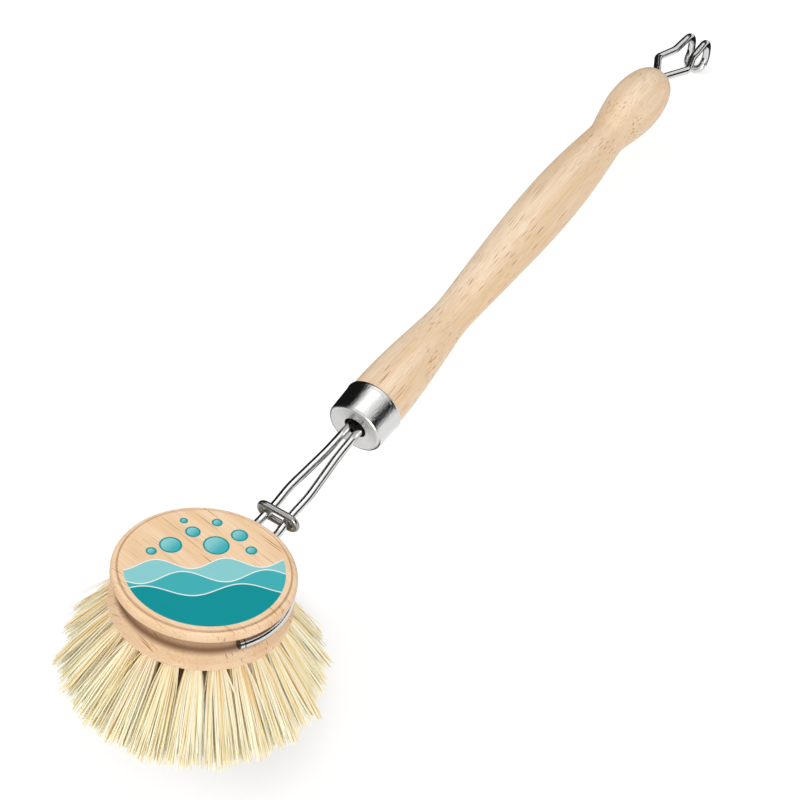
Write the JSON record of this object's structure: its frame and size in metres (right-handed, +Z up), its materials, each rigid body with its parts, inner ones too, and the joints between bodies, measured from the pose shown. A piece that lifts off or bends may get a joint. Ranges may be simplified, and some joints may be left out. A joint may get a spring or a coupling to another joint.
{
  "type": "dish brush",
  "caption": "Wooden dish brush: round fibre head held in a wire fork with a sliding clamp ring, turned handle with a steel ferrule and a wire hanging hook.",
  "frame": {"origin": "on the table under the middle of the brush's box, as it lies on its rear bristles and its hook", "axes": "+X from the head to the hook, +Y to the left seen from the hook, +Z up from the table"},
  "size_m": [0.258, 0.062, 0.046],
  "materials": {
    "handle_beech": "bare sanded beech",
    "head_beech": "bare turned beech",
    "tinned_ferrule": "bright tin plate",
    "steel_wire": "bright drawn wire",
    "ring_steel": "darker drawn wire",
    "plant_fibre": "stiff pale plant fibre",
    "anchor_steel": "flat wire"
  },
  "bodies": {
    "handle_set": {"handle": "handle_beech", "ferrule": "tinned_ferrule", "hook_wire": "steel_wire"},
    "clamp": {"clamp_ring": "ring_steel"},
    "left_arm": {"left_prong": "steel_wire"},
    "right_arm": {"right_prong": "steel_wire"},
    "brush_head": {"head_block": "head_beech", "tuft_outer_01": "plant_fibre", "tuft_outer_02": "plant_fibre", "tuft_outer_03": "plant_fibre", "tuft_outer_04": "plant_fibre", "tuft_outer_05": "plant_fibre", "tuft_outer_06": "plant_fibre", "tuft_outer_07": "plant_fibre", "tuft_outer_08": "plant_fibre", "tuft_outer_09": "plant_fibre", "tuft_outer_10": "plant_fibre", "tuft_outer_11": "plant_fibre", "tuft_outer_12": "plant_fibre", "tuft_outer_13": "plant_fibre", "tuft_outer_14": "plant_fibre", "tuft_outer_15": "plant_fibre", "tuft_outer_16": "plant_fibre", "tuft_outer_17": "plant_fibre", "tuft_outer_18": "plant_fibre", "tuft_outer_19": "plant_fibre", "tuft_outer_20": "plant_fibre", "tuft_outer_21": "plant_fibre", "tuft_outer_22": "plant_fibre", "tuft_middle_01": "plant_fibre", "tuft_middle_02": "plant_fibre", "tuft_middle_03": "plant_fibre", "tuft_middle_04": "plant_fibre", "tuft_middle_05": "plant_fibre", "tuft_middle_06": "plant_fibre", "tuft_middle_07": "plant_fibre", "tuft_middle_08": "plant_fibre", "tuft_middle_09": "plant_fibre", "tuft_middle_10": "plant_fibre", "tuft_middle_11": "plant_fibre", "tuft_middle_12": "plant_fibre", "tuft_inner_01": "plant_fibre", "tuft_inner_02": "plant_fibre", "tuft_inner_03": "plant_fibre", "tuft_inner_04": "plant_fibre", "tuft_inner_05": "plant_fibre", "tuft_inner_06": "plant_fibre", "tuft_centre_01": "plant_fibre", "anchors_outer": "anchor_steel", "anchors_middle": "anchor_steel", "anchors_inner": "anchor_steel", "anchors_centre": "anchor_steel"}
  },
  "joints": [
    {"name": "ring_slide", "type": "slide", "parent": "handle_set", "child": "clamp", "axis": [0.9975, 0, -0.0709], "range_m": [0, 0.02815]},
    {"name": "left_prong_spread", "type": "hinge", "parent": "handle_set", "child": "left_arm", "pos_m": [-0.03055, 0.0012, 0.02477], "axis": [-0.3349, 0, -0.9422], "range_deg": [0, 2.3]},
    {"name": "right_prong_spread", "type": "hinge", "parent": "handle_set", "child": "right_arm", "pos_m": [-0.03055, -0.0012, 0.02477], "axis": [0.3349, 0, 0.9422], "range_deg": [0, 2.3]},
    {"name": "head_turn", "type": "hinge", "parent": "handle_set", "child": "brush_head", "pos_m": [-0.09135, 0, 0.03534], "axis": [0.3349, 0, 0.9422], "continuous": true}
  ],
  "couplings": [
    {"joint": "left_prong_spread", "follows": "ring_slide", "rad_per_m": 1.426},
    {"joint": "right_prong_spread", "follows": "ring_slide", "rad_per_m": 1.426}
  ]
}
